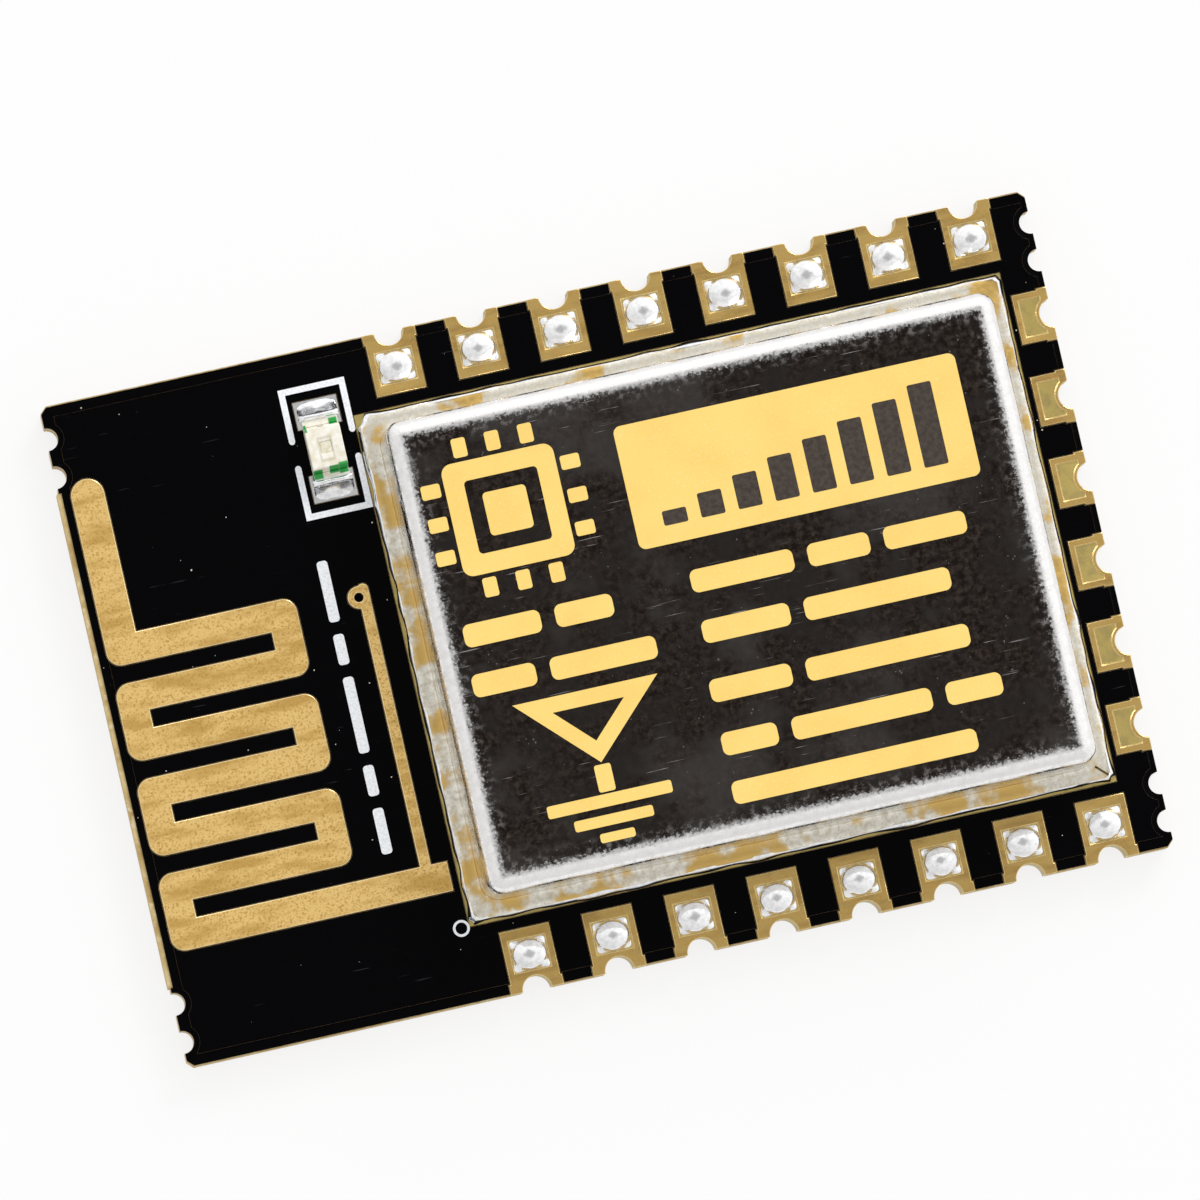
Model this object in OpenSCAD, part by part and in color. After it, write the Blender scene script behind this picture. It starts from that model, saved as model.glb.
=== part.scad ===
// Castellated radio module: a black circuit board with a printed meander antenna at its -X end,
// gold edge contacts on three sides and a soldered shield can over the circuit.
// +X runs from the antenna to the end contacts and +Z is up, out of the component side.
// The origin is the centre of the underside, level with the bottom contact lands.

/* [Board] */
// Length of the board, from the antenna end to the end contacts
board_l = 24; // [23.8:0.1:26]
// Width of the board, between the outer faces of the side contacts
board_w = 16; // [15.8:0.1:17]
// Thickness of the bare laminate
core_t = 0.7; // [0.4:0.1:1.2]
// Leg of the small chamfer at each board corner
corner_chamfer = 0.15; // [0.05:0.05:0.3]

/* [Break-off tabs] */
// Radius of the half-round notches where the board broke off its panel
bite_r = 0.27; // [0.15:0.01:0.3]
// Distance from the board corner to the first notch
bite_first = 0.7; // [0.6:0.05:0.8]
// Distance between the two notches of a tab
bite_pitch = 0.92; // [0.8:0.02:1]
// How far every notch lies towards -Y
bite_shift = 0.08; // [0:0.01:0.15]
// How far the broken tabs lie inside the routed antenna edge
tab_inset = 0.05; // [0:0.01:0.1]

/* [Copper and lacquer] */
// Thickness of the copper lands
copper_t = 0.05; // [0.03:0.005:0.06]
// Height of the plated frames and the antenna above the copper lands
plating_rise = 0.03; // [0.01:0.005:0.05]
// Thickness of the lacquer at the board's rim
mask_t = 0.03; // [0.02:0.005:0.035]
// Extra thickness of the lacquer inside its rim
mask_rise = 0.03; // [0.01:0.005:0.03]
// Width of the thin lacquer rim along the long sides
mask_rim = 0.28; // [0.2:0.01:0.4]
// Width of the thin lacquer rim round the notches
bite_rim = 0.14; // [0.08:0.01:0.2]
// Bare laminate left between the lacquer and the routed antenna edge
antenna_edge_bare = 0.11; // [0.05:0.01:0.15]
// Bare laminate left between the lacquer and the long sides
side_bare = 0.03; // [0.01:0.01:0.05]
// Gap between the lacquer and the copper that it leaves open
mask_gap = 0.02; // [0.01:0.01:0.03]

/* [Contacts] */
// Number of contacts on each long side
side_count = 8; // [2:1:8]
// Number of contacts on the end
end_count = 6; // [2:1:6]
// Distance from the can's antenna end to the middle of the first side contact
side_row_start = 1.14; // [1.1:0.02:1.4]
// Distance from the end of the board to the middle of the last side contact
side_row_end = 1.5; // [1.4:0.1:2]
// Distance from the long sides to the middle of the first and last end contacts
end_row_margin = 3; // [2.9:0.1:3.5]
// Width of a contact
contact_w = 1.2; // [1.15:0.05:1.3]
// Length of a side contact, in from the board's edge
side_contact_l = 1.5; // [1.45:0.05:1.6]
// Length of an end contact, in from the board's edge
end_contact_l = 0.85; // [0.8:0.05:0.95]
// Radius of the plated half-hole of each contact
half_hole_r = 0.35; // [0.25:0.05:0.35]
// How far the end half-holes' centres lie outside the board
end_hole_out = 0.06; // [0:0.01:0.1]
// Thickness of the half-hole plating
plating_t = 0.04; // [0.03:0.01:0.05]
// Length of the slightly wider band at the contact's outer end
lip_l = 0.24; // [0.1:0.02:0.3]
// How much wider that band is on each side
lip_out = 0.04; // [0.01:0.01:0.06]

/* [Windows and solder] */
// Width of the recessed window in a contact
window_w = 0.9; // [0.8:0.05:0.95]
// Rim of a side contact between its window and its inner end
side_window_rim = 0.25; // [0.2:0.01:0.3]
// Length of a side contact's window
side_window_l = 0.78; // [0.6:0.02:0.78]
// Rim of an end contact between its window and its inner end
end_window_rim = 0.13; // [0.1:0.01:0.2]
// Length of an end contact's window before its outer side is rounded
end_window_l = 0.53; // [0.45:0.01:0.55]
// Rim of an end contact between its window and its half-hole
end_window_lip = 0.08; // [0.05:0.01:0.1]
// Height of a solder dome above its window's floor
dome_h = 0.22; // [0.1:0.02:0.3]
// Gap between a solder dome and its window's sides
dome_gap = 0.03; // [0.02:0.01:0.06]

/* [Antenna] */
// Length of the antenna end of the board, up to the can
antenna_zone = 7.36; // [7.3:0.02:7.6]
// Distance from the board's end to the meander
antenna_margin = 0.31; // [0.25:0.01:0.4]
// Length of the meander along the board
meander_l = 4.63; // [4:0.05:4.7]
// Number of runs in the meander
run_count = 7; // [3:2:7]
// Width of a run
run_w = 0.72; // [0.5:0.02:0.8]
// Width of the gap between two runs
run_gap = 0.43; // [0.3:0.01:0.45]
// Width of the meander's turns
turn_w = 0.71; // [0.5:0.01:0.9]
// Outer corner radius of the turns
turn_r = 0.34; // [0.2:0.02:0.5]
// Width of the straight leg at the free end
leg_w = 0.8; // [0.5:0.02:0.9]
// Distance from the leg's round tip to the long side
leg_margin = 1.88; // [1.6:0.05:3]
// Distance from the feed run to the other long side
feed_margin = 2.71; // [2.4:0.05:3]
// Gap between the bare end of the feed run and the can
feed_gap = 0.28; // [0.2:0.02:0.5]
// Width of the thin grounding trace
stub_w = 0.27; // [0.15:0.01:0.3]
// Distance from the grounding trace's centre to the can
stub_off = 0.8; // [0.7:0.02:0.9]
// Length of the grounding trace beyond the feed run
stub_l = 6.85; // [5:0.05:7]
// Outer radius of the ring round the via
ring_r = 0.27; // [0.24:0.01:0.3]
// Radius of the via's hole
via_r = 0.11; // [0.1:0.01:0.13]
// How far the via lies beside the grounding trace
via_off = 0.13; // [0.1:0.01:0.16]
// Distance from the end of the grounding trace back to the via
via_back = 0.31; // [0.25:0.01:0.4]

/* [Shield can] */
// Gap between the can and the inner ends of the side contacts
can_side_gap = 0.4; // [0.3:0.02:0.5]
// Gap between the can and the inner ends of the end contacts
can_end_gap = 0.25; // [0.2:0.01:0.35]
// Height of the can above its copper land
can_h = 2.2; // [2.15:0.05:3]
// Thickness of the can's sheet
sheet_t = 0.2; // [0.1:0.01:0.2]
// Width of the soldered flange
flange_w = 0.35; // [0.25:0.01:0.4]
// How far the walls lean in from the flange to the top
can_draft = 0.05; // [0:0.01:0.1]
// Radius of the can's upright corners
can_corner_r = 0.45; // [0.35:0.01:0.6]
// Outer radius of the bend round the can's top
can_rim_r = 0.38; // [0.25:0.01:0.45]
// Leg of the bevelled flange corner beside the lamp
flange_bevel = 0.27; // [0.15:0.01:0.3]
// Leg of the other flange corners' bevels
flange_nick = 0.12; // [0.05:0.01:0.15]
// Width of the slit in the flange corner between the feed side and the end
slit_w = 0.05; // [0.03:0.01:0.08]
// Width of the solder line round the flange
seam_w = 0.08; // [0.05:0.01:0.1]
// Height of the solder line
seam_h = 0.12; // [0.06:0.01:0.16]
// Radius of the solder blobs at the can's corners
blob_r = 0.28; // [0.22:0.01:0.3]

/* [Lamp] */
// Distance from the lamp's centre to the can
lamp_can_off = 0.93; // [0.9:0.01:1]
// Distance from the lamp's centre to the long side
lamp_side_off = 2.42; // [2.3:0.02:2.6]
// Length of the lamp
lamp_l = 1.6; // [1.4:0.05:1.7]
// Width of the lamp
lamp_w = 0.85; // [0.7:0.01:0.9]
// Thickness of the lamp's base
lamp_base_t = 0.25; // [0.15:0.01:0.35]
// Height of the lamp's lens above its base
lens_h = 0.3; // [0.2:0.01:0.4]
// Length of the lamp's lens
lens_l = 1.12; // [0.9:0.02:1.2]
// Side of the square window over the lamp's die
die_w = 0.28; // [0.2:0.01:0.4]
// Length of the land beyond each end of the lamp
lamp_land_out = 0.42; // [0.3:0.02:0.45]
// Width of the lamp's lands
lamp_land_w = 1.05; // [1:0.01:1.15]

/* [Print] */
// Width of the printed white lines
print_w = 0.15; // [0.08:0.01:0.15]
// Thickness of the print
print_t = 0.02; // [0.01:0.005:0.03]
// Length of the printed frame round the lamp, between line centres
lamp_frame_l = 3.02; // [2.95:0.01:3.1]
// Width of that frame, between line centres
lamp_frame_w = 1.46; // [1.4:0.01:1.48]
// Gap in each long side of that frame
lamp_frame_gap = 0.66; // [0.4:0.02:0.9]
// Outer radius of the printed ring at the can's corner
print_ring_r = 0.2; // [0.15:0.01:0.22]

/* [Inner components] */
// Side of the square radio chip
radio_w = 5; // [4:0.1:5]
// Height of the radio chip
radio_h = 0.85; // [0.6:0.05:1]
// Distance between the radio chip's pads
radio_pitch = 0.5; // [0.4:0.05:0.5]
// Length of the memory chip's body
flash_l = 5.3; // [4.9:0.05:5.3]
// Width of the memory chip's body, along the board
flash_w = 5.2; // [4.9:0.05:5.2]
// Height of the memory chip's body
flash_h = 1.7; // [1.2:0.05:1.7]
// Span of the memory chip's leads
flash_span = 7.9; // [7.5:0.05:7.9]
// Distance between the memory chip's leads
flash_pitch = 1.27; // [1:0.01:1.27]
// Length of the crystal
crystal_l = 3.2; // [2.5:0.1:3.2]
// Width of the crystal
crystal_w = 2.5; // [2:0.1:2.5]
// Height of the crystal
crystal_h = 0.75; // [0.5:0.05:0.9]
// Length of a small two-ended component
chip_l = 1; // [0.8:0.05:1]
// Width of a small two-ended component
chip_w = 0.5; // [0.4:0.05:0.5]
// Width of the soldered ends of a small component
chip_end = 0.2; // [0.15:0.01:0.25]
// Number of small components in the row beside the feed side's wall
row_count = 9; // [6:1:9]
// Number of small components in the column between the two chips
column_count = 6; // [3:1:6]

/* [Hidden] */
$fn = 48;

// Reach of a cut past the face that it opens
past = 1;
// Facets of the can's round corners and bends
can_fn = 32;

// Levels above the resting plane
core_z = copper_t;
top_z = core_z + core_t;
land_z = top_z + copper_t;
frame_z = land_z + plating_rise;
mask_z = top_z + mask_t + mask_rise;

// Outer faces of the board
end_x = board_l / 2;
side_y = board_w / 2;

// Outline of the can's flange
can_x0 = -end_x + antenna_zone;
can_x1 = end_x - end_contact_l - can_end_gap;
can_l = can_x1 - can_x0;
can_w = board_w - 2 * (side_contact_l + can_side_gap);
can_cx = (can_x0 + can_x1) / 2;

// Copper land under the flange, wider by ring_lip than the solder line outside it and than the wall's
// round corners inside it
ring_lip = 0.02;
ring_out = seam_w + ring_lip;
ring_in = flange_w + sheet_t + (can_corner_r - sheet_t) * (1 - cos(45)) + ring_lip;
// Distance of a corner blob's centre from the flange's corner, along both sides
blob_in = 0.1;

// Meander
meander_x0 = -end_x + antenna_margin;
meander_x1 = meander_x0 + meander_l;
run_pitch = run_w + run_gap;
feed_y = -side_y + feed_margin;
meander_top = feed_y + run_count * run_pitch - run_gap;
feed_x1 = can_x0 - feed_gap;
stub_x = can_x0 - stub_off;
stub_top = feed_y + run_w + stub_l;
via_pos = [stub_x - via_off, stub_top - via_back];

// Lamp
lamp_pos = [can_x0 - lamp_can_off, side_y - lamp_side_off];
lamp_end_l = (lamp_l - lens_l) / 2;
lamp_end_t = 0.03;

// Room inside the can, between its walls
wall_in = flange_w + sheet_t;
room_x0 = can_x0 + wall_in;
room_x1 = can_x1 - wall_in;
room_y1 = can_w / 2 - wall_in;

// Inner components. Along the board the radio chip, the column and the memory chip share out what they
// leave free in equal gaps, and across it so do the row, the radio chip and the crystal
gap_x = (room_x1 - room_x0 - radio_w - chip_l - flash_w) / 4;
gap_y = (2 * room_y1 - chip_w - radio_w - crystal_w) / 4;
row_y = -room_y1 + gap_y + chip_w / 2;
row_pitch = (room_x1 - room_x0) / row_count;
radio_pos = [room_x0 + gap_x + radio_w / 2, row_y + chip_w / 2 + gap_y + radio_w / 2];
column_x = radio_pos[0] + radio_w / 2 + gap_x + chip_l / 2;
column_pitch = (room_y1 - row_y) / (column_count + 1);
flash_pos = [room_x1 - gap_x - flash_w / 2, (row_y + chip_w / 2 + room_y1) / 2];
crystal_pos = [radio_pos[0], room_y1 - gap_y - crystal_w / 2];

// Places in the row from the antenna end, and in the column from the row upwards
function in_row(i) = [room_x0 + (i - 0.5) * row_pitch, row_y];
function in_column(i) = [column_x, row_y + i * column_pitch];
capacitor_places = [
    for (i = [1:row_count]) if (i <= 3 || i == 9) in_row(i),
    for (i = [1:column_count]) if (i > 2) in_column(i)
];
resistor_places = [for (i = [1:row_count]) if (i > 3 && i <= 7) in_row(i)];
inductor_places = [
    for (i = [1:row_count]) if (i == 8) in_row(i),
    for (i = [1:column_count]) if (i <= 2) in_column(i)
];

// Pads, leads and heights of the inner components
radio_pad_l = 0.4;
radio_pad_w = 0.25;
radio_pad_t = 0.05;
radio_side_pads = 8;
radio_paddle_w = 3.4;
flash_rise = 0.1;
flash_land_l = 0.9;
lead_w = 0.4;
lead_t = 0.15;
flash_side_leads = 4;
crystal_pad = [0.9, 0.7];
crystal_pad_t = 0.04;
crystal_lid_h = 0.25;
capacitor_h = 0.5;
resistor_h = 0.35;
inductor_h = 0.55;
chip_land = [0.4, 0.6];
body_inset = 0.02;

// Places of the side and end contacts, counted from the antenna and from -Y
side_x1 = can_x0 + side_row_start;
side_x2 = end_x - side_row_end;
function side_x(i) = side_x1 + (i - 1) * (side_x2 - side_x1) / (side_count - 1);
function end_y(i) = (side_y - end_row_margin) * (2 * (i - 1) / (end_count - 1) - 1);

// Centres of the break-off notches
bites = [
    for (side = [-1, 1], row = [-1, 1], k = [0, 1]) [
        side * end_x + (side < 0 ? tab_inset : 0),
        row * (side_y - bite_first - k * bite_pitch) - bite_shift
    ]
];
// Length of a tab beyond its inner notch
tab_past_bite = 0.12;
tab_l = bite_first + bite_pitch + bite_r + tab_past_bite;

// Board outline, drawn in by bare_end at the routed antenna edge and by bare_side at the long sides
function board_points(bare_end = 0, bare_side = 0) =
    let (x0 = -end_x + bare_end, xt = -end_x + tab_inset, y1 = side_y - bare_side, c = corner_chamfer)
    [
        [x0, -side_y + tab_l - bite_shift], [xt, -side_y + tab_l - bite_shift],
        [xt, -y1 + c], [xt + c, -y1], [end_x - c, -y1], [end_x, -y1 + c],
        [end_x, y1 - c], [end_x - c, y1], [xt + c, y1], [xt, y1 - c],
        [xt, side_y - tab_l - bite_shift], [x0, side_y - tab_l - bite_shift]
    ];

// Draws a rectangle from corner to corner, grown by g on every side
module block(x0, x1, y0, y1, g = 0) {
    translate([x0 - g, y0 - g]) square([x1 - x0 + 2 * g, y1 - y0 + 2 * g]);
}

// Draws a rectangle of size s with round corners of radius r, centred
module round_block(s, r) {
    square([s[0] - 2 * r, s[1]], center = true);
    square([s[0], s[1] - 2 * r], center = true);
    for (sx = [-1, 1], sy = [-1, 1])
        translate([sx * (s[0] / 2 - r), sy * (s[1] / 2 - r)]) circle(r);
}

// Draws one turn of the meander with its two outer corners round; dir is the way it points
module turn(x, y0, y1, dir, g = 0) {
    translate([x, (y0 + y1) / 2]) mirror([dir < 0 ? 1 : 0, 0]) {
        half = (y1 - y0) / 2;
        block(-turn_w, -turn_r, -half, half, g);
        block(-turn_w, 0, -half + turn_r, half - turn_r, g);
        for (s = [-1, 1]) translate([-turn_r, s * (half - turn_r)]) circle(turn_r + g);
    }
}

// The antenna's outline, grown by g: leg, runs, turns, feed, grounding trace and via ring
module antenna_outline(g = 0) {
    mid_x = meander_x0 + leg_w / 2;
    leg_tip = side_y - leg_margin - leg_w / 2;
    translate([mid_x, leg_tip]) circle(leg_w / 2 + g);
    block(meander_x0, meander_x0 + leg_w, meander_top - run_w + turn_r, leg_tip, g);
    block(meander_x0 + turn_r, meander_x0 + leg_w, meander_top - run_w, leg_tip, g);
    translate([meander_x0 + turn_r, meander_top - run_w + turn_r]) circle(turn_r + g);
    for (i = [0:run_count - 1]) {
        y = meander_top - run_w - i * run_pitch;
        block(meander_x0 + turn_w, i == run_count - 1 ? feed_x1 : meander_x1 - turn_w, y, y + run_w, g);
        if (i < run_count - 1)
            turn(i % 2 == 0 ? meander_x1 : meander_x0, y - run_pitch, y + run_w, i % 2 == 0 ? 1 : -1, g);
    }
    block(stub_x - stub_w / 2, stub_x + stub_w / 2, feed_y + run_w / 2, stub_top - stub_w / 2, g);
    translate([stub_x, stub_top - stub_w / 2]) circle(stub_w / 2 + g);
    translate(via_pos) circle(ring_r + g);
}

// Puts its children at one contact, drawn with the board's edge along X and the board below it
module at_north(i) { translate([side_x(i), side_y, 0]) children(); }
module at_south(i) { translate([side_x(i), -side_y, 0]) rotate(180) children(); }
module at_end(i) { translate([end_x, end_y(i), 0]) rotate(-90) children(); }
module at_side_contacts() {
    for (i = [1:side_count]) {
        at_north(i) children();
        at_south(i) children();
    }
}
module at_end_contacts() {
    for (i = [1:end_count]) at_end(i) children();
}

// Outline of a contact's land of length l, grown by g and reaching out past the edge by out
module contact_outline(l, g = 0, out = 0) {
    block(-contact_w / 2 - g, contact_w / 2 + g, -l - g, out);
    block(-contact_w / 2 - lip_out - g, contact_w / 2 + lip_out + g, -lip_l - g, out);
}

// Half-hole of radius r, its centre hole_out outside the edge
module half_hole(r, hole_out) {
    translate([0, hole_out]) circle(r);
}

// One plated contact: top frame, half-hole barrel and bottom land in one
module contact(l, hole_out) {
    difference() {
        union() {
            translate([0, 0, top_z]) linear_extrude(frame_z - top_z) contact_outline(l);
            linear_extrude(copper_t) contact_outline(l);
            linear_extrude(frame_z) intersection() {
                half_hole(half_hole_r + plating_t, hole_out);
                block(-contact_w / 2, contact_w / 2, -l, 0);
            }
        }
        translate([0, 0, -past]) linear_extrude(frame_z + 2 * past) half_hole(half_hole_r, hole_out);
        translate([0, 0, land_z]) linear_extrude(plating_rise + past) children();
    }
}

// Window of a side contact, and of an end contact, whose outer side follows its half-hole
module side_window() {
    block(-window_w / 2, window_w / 2, -side_contact_l + side_window_rim,
        -side_contact_l + side_window_rim + side_window_l);
}

module end_window() {
    difference() {
        block(-window_w / 2, window_w / 2, -end_contact_l + end_window_rim,
            -end_contact_l + end_window_rim + end_window_l);
        half_hole(half_hole_r + end_window_lip, end_hole_out);
    }
}

module side_contact() { contact(side_contact_l, 0) side_window(); }
module end_contact() { contact(end_contact_l, end_hole_out) end_window(); }
module gold() { color([0.83, 0.67, 0.35]) children(); }
module solder() { color([0.86, 0.87, 0.88]) children(); }

module contact_n(i) { if (i <= side_count) gold() at_north(i) side_contact(); }
module contact_s(i) { if (i <= side_count) gold() at_south(i) side_contact(); }
module contact_e(i) { if (i <= end_count) gold() at_end(i) end_contact(); }

// A pillow of solder in a side contact's window: a ball's cap cut to the window
module solder_dome() {
    half_x = window_w / 2 - dome_gap;
    half_y = side_window_l / 2 - dome_gap;
    reach = norm([half_x, half_y]);
    ball_r = (reach * reach + dome_h * dome_h) / (2 * dome_h);
    translate([0, -side_contact_l + side_window_rim + side_window_l / 2, land_z])
        intersection() {
            translate([0, 0, dome_h - ball_r]) sphere(ball_r, $fn = 96);
            translate([-half_x, -half_y, 0]) cube([2 * half_x, 2 * half_y, dome_h + past]);
        }
}

module solder_domes_north() { solder() for (i = [1:side_count]) at_north(i) solder_dome(); }
module solder_domes_south() { solder() for (i = [1:side_count]) at_south(i) solder_dome(); }

// Laminate with half-holes, notches and via
module board_core() {
    color([0.72, 0.62, 0.36]) translate([0, 0, core_z]) linear_extrude(core_t) difference() {
        polygon(board_points());
        for (p = bites) translate(p) circle(bite_r);
        at_side_contacts() half_hole(half_hole_r + plating_t, 0);
        at_end_contacts() half_hole(half_hole_r + plating_t, end_hole_out);
        translate(via_pos) circle(via_r + plating_t);
    }
}

// Lamp land outlines, grown by g
module lamp_lands(g = 0) {
    for (s = [-1, 1]) translate(lamp_pos + [0, s * (lamp_l / 2 + lamp_land_out / 2 - lamp_end_l / 2)])
        square([lamp_land_w + 2 * g, lamp_land_out + lamp_end_l + 2 * g], center = true);
}

// Puts its children at both ends of each small component in the list
module at_chip_ends(places) {
    for (p = places, s = [-1, 1]) translate(p + [s * (chip_l - chip_end) / 2, 0]) children();
}

// Land outlines of the components under the can, grown by g
module inner_lands(g = 0) {
    at_chip_ends(concat(capacitor_places, resistor_places, inductor_places))
        square(chip_land + [2 * g, 2 * g], center = true);
    at_radio_pads() square([radio_pad_w + 2 * g, radio_pad_l + 2 * g], center = true);
    translate(radio_pos) square(radio_paddle_w + 2 * g, center = true);
    at_flash_leads() block(-lead_w / 2, lead_w / 2, flash_span / 2 - flash_land_l, flash_span / 2, g);
    at_crystal_pads() square(crystal_pad + [2 * g, 2 * g], center = true);
}

module at_radio_pads() {
    first = -(radio_side_pads + 1) / 2;
    translate(radio_pos) for (turn = [0:3], i = [1:radio_side_pads])
        rotate(90 * turn) translate([(first + i) * radio_pitch, (radio_w - radio_pad_l) / 2]) children();
}

module at_flash_leads() {
    first = -(flash_side_leads + 1) / 2;
    translate(flash_pos) for (turn = [0, 1], i = [1:flash_side_leads])
        rotate(180 * turn) translate([(first + i) * flash_pitch, 0]) children();
}

module at_crystal_pads() {
    reach = ([crystal_l, crystal_w] - crystal_pad) / 2;
    for (sx = [-1, 1], sy = [-1, 1])
        translate(crystal_pos + [sx * reach[0], sy * reach[1]]) children();
}

// Outline of the ring land under the can's flange, grown by g outwards and inwards
module ring_outline(g = 0) {
    difference() {
        block(can_x0, can_x1, -can_w / 2, can_w / 2, ring_out + g);
        block(can_x0, can_x1, -can_w / 2, can_w / 2, -ring_in - g);
    }
}

// Everything that the top lacquer leaves open
module top_openings() {
    at_side_contacts() contact_outline(side_contact_l, mask_gap, past);
    at_end_contacts() contact_outline(end_contact_l, mask_gap, past);
    antenna_outline(mask_gap);
    ring_outline(mask_gap);
    lamp_lands(mask_gap);
    inner_lands(mask_gap);
}

// Black lacquer of the component side: a thin rim and a thicker field inside it
module top_mask() {
    color([0.05, 0.05, 0.055]) translate([0, 0, top_z]) {
        linear_extrude(mask_t) difference() {
            polygon(board_points(antenna_edge_bare, side_bare));
            for (p = bites) translate(p) circle(bite_r);
            top_openings();
        }
        linear_extrude(mask_t + mask_rise) difference() {
            block(meander_x0 + mask_gap, end_x - bite_rim, -side_y + mask_rim, side_y - mask_rim);
            for (p = bites) translate(p) circle(bite_r + bite_rim);
            top_openings();
        }
    }
}

// Black lacquer of the underside, thinner than the lands that it leaves open
module bottom_mask() {
    color([0.05, 0.05, 0.055]) translate([0, 0, core_z - mask_t]) linear_extrude(mask_t) difference() {
        polygon(board_points(antenna_edge_bare, side_bare));
        for (p = bites) translate(p) circle(bite_r);
        at_side_contacts() contact_outline(side_contact_l, mask_gap, past);
        at_end_contacts() contact_outline(end_contact_l, mask_gap, past);
    }
}

// Meander antenna, feed, grounding trace and plated via in one piece of copper
module antenna_trace() {
    gold() difference() {
        union() {
            translate([0, 0, top_z]) linear_extrude(frame_z - top_z) antenna_outline();
            translate([each via_pos, core_z]) cylinder(h = core_t, r = via_r + plating_t);
        }
        translate([each via_pos, core_z - past]) cylinder(h = core_t + 2 * past, r = via_r);
    }
}

// White print: a broken frame round the lamp and a ring at the can's corner
module silkscreen() {
    color("white") translate([0, 0, mask_z]) linear_extrude(print_t) {
        translate(lamp_pos) difference() {
            square([lamp_frame_w + print_w, lamp_frame_l + print_w], center = true);
            square([lamp_frame_w - print_w, lamp_frame_l - print_w], center = true);
            square([lamp_frame_w + 2 * print_w, lamp_frame_gap], center = true);
        }
        translate([can_x0 - ring_out - print_ring_r, -can_w / 2 - ring_out]) difference() {
            circle(print_ring_r);
            circle(print_ring_r - print_w / 3);
        }
    }
}

// The lamp's white base
module led_base() {
    color([0.93, 0.92, 0.86]) translate([each lamp_pos, land_z + lamp_end_t + lamp_base_t / 2])
        cube([lamp_w, lamp_l - 2 * lamp_end_t, lamp_base_t], center = true);
}

// The lamp's cream lens with sloping ends and a window over the die
module led_lens() {
    slope = lens_h / 4;
    color([0.96, 0.93, 0.78]) translate([each lamp_pos, land_z + lamp_end_t + lamp_base_t])
        difference() {
            translate([-lamp_w / 2, 0, 0]) rotate([90, 0, 90]) linear_extrude(lamp_w)
                polygon([
                    [-lens_l / 2, 0], [lens_l / 2, 0],
                    [lens_l / 2 - slope, lens_h], [-lens_l / 2 + slope, lens_h]
                ]);
            translate([-die_w / 2, -die_w / 2, lens_h / 2]) cube([die_w, die_w, lens_h]);
        }
}

module led_die() {
    color([0.85, 0.8, 0.6]) translate([each lamp_pos, land_z + lamp_end_t + lamp_base_t + lens_h / 2])
        translate([-die_w / 2, -die_w / 2, 0]) cube([die_w, die_w, lens_h * 0.4]);
}

// Plated ends that wrap over the ends of the lamp's base
module led_terminals() {
    height = lamp_base_t + 2 * lamp_end_t;
    solder() translate([each lamp_pos, land_z]) for (s = [0, 1])
        rotate(180 * s) difference() {
            translate([-lamp_w / 2, lamp_l / 2 - lamp_end_l, 0]) cube([lamp_w, lamp_end_l, height]);
            translate([-lamp_w / 2 - past, 0, lamp_end_t])
                cube([lamp_w + 2 * past, lamp_l / 2 - lamp_end_t, lamp_base_t]);
        }
}

// Concave solder wedges between the lamp's ends and its lands
module led_solder() {
    height = lamp_base_t + 2 * lamp_end_t;
    toe = 0.04;
    out = lamp_land_out - toe;
    solder() translate([each lamp_pos, land_z]) for (s = [0, 1])
        rotate(180 * s) translate([-lamp_w / 2, lamp_l / 2, 0]) rotate([90, 0, 90])
            linear_extrude(lamp_w) difference() {
                polygon([[0, 0], [out, 0], [out, toe], [toe, height], [0, height]]);
                translate([out + toe, height + 2.5 * toe]) circle(height - toe / 2);
            }
}

// Outline of the can's flange, with its corners bevelled
module flange_outline(g = 0) {
    x0 = can_x0 - g;
    x1 = can_x1 + g;
    y1 = can_w / 2 + g;
    polygon([
        [x0, -y1 + flange_nick], [x0 + flange_nick, -y1],
        [x1 - flange_nick, -y1], [x1, -y1 + flange_nick],
        [x1, y1 - flange_nick], [x1 - flange_nick, y1],
        [x0 + flange_bevel, y1], [x0, y1 - flange_bevel]
    ]);
}

// Solid form of the can's walls and top, drawn in by t on every side
module can_form(t, foot) {
    half_l = can_l / 2 - flange_w - t;
    half_w = can_w / 2 - flange_w - t;
    corner = can_corner_r - t;
    rim = can_rim_r - t;
    translate([can_cx, 0, land_z]) hull() for (sx = [-1, 1], sy = [-1, 1]) {
        translate([sx * (half_l - corner), sy * (half_w - corner), -foot])
            cylinder(h = sheet_t, r = corner, $fn = can_fn);
        translate([sx * (half_l - can_draft - rim), sy * (half_w - can_draft - rim), can_h - t - rim])
            sphere(rim, $fn = can_fn);
    }
}

// Shield can: one sheet with a round top bend, leaning walls and a soldered flange
module shield_can() {
    color([0.75, 0.74, 0.72]) difference() {
        union() {
            translate([0, 0, land_z]) linear_extrude(sheet_t) flange_outline();
            can_form(0, 0);
        }
        can_form(sheet_t, sheet_t / 2);
        translate([can_x1 - flange_w, -can_w / 2 + flange_w, land_z - past])
            rotate(-45) translate([0, -slit_w / 2, 0]) cube([2 * flange_w, slit_w, sheet_t + past]);
    }
}

// Solder line round the flange, with a blob over three of the flange's corners
module can_solder() {
    corners = [[-1, -1], [1, -1], [1, 1]];
    solder() translate([0, 0, land_z]) difference() {
        union() {
            linear_extrude(seam_h) flange_outline(seam_w);
            intersection() {
                for (s = corners)
                    translate([can_cx + s[0] * (can_l / 2 - blob_in), s[1] * (can_w / 2 - blob_in), 0])
                        sphere(blob_r);
                linear_extrude(blob_r) flange_outline(seam_w);
            }
        }
        translate([0, 0, -past]) linear_extrude(sheet_t + past) flange_outline();
    }
}

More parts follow.
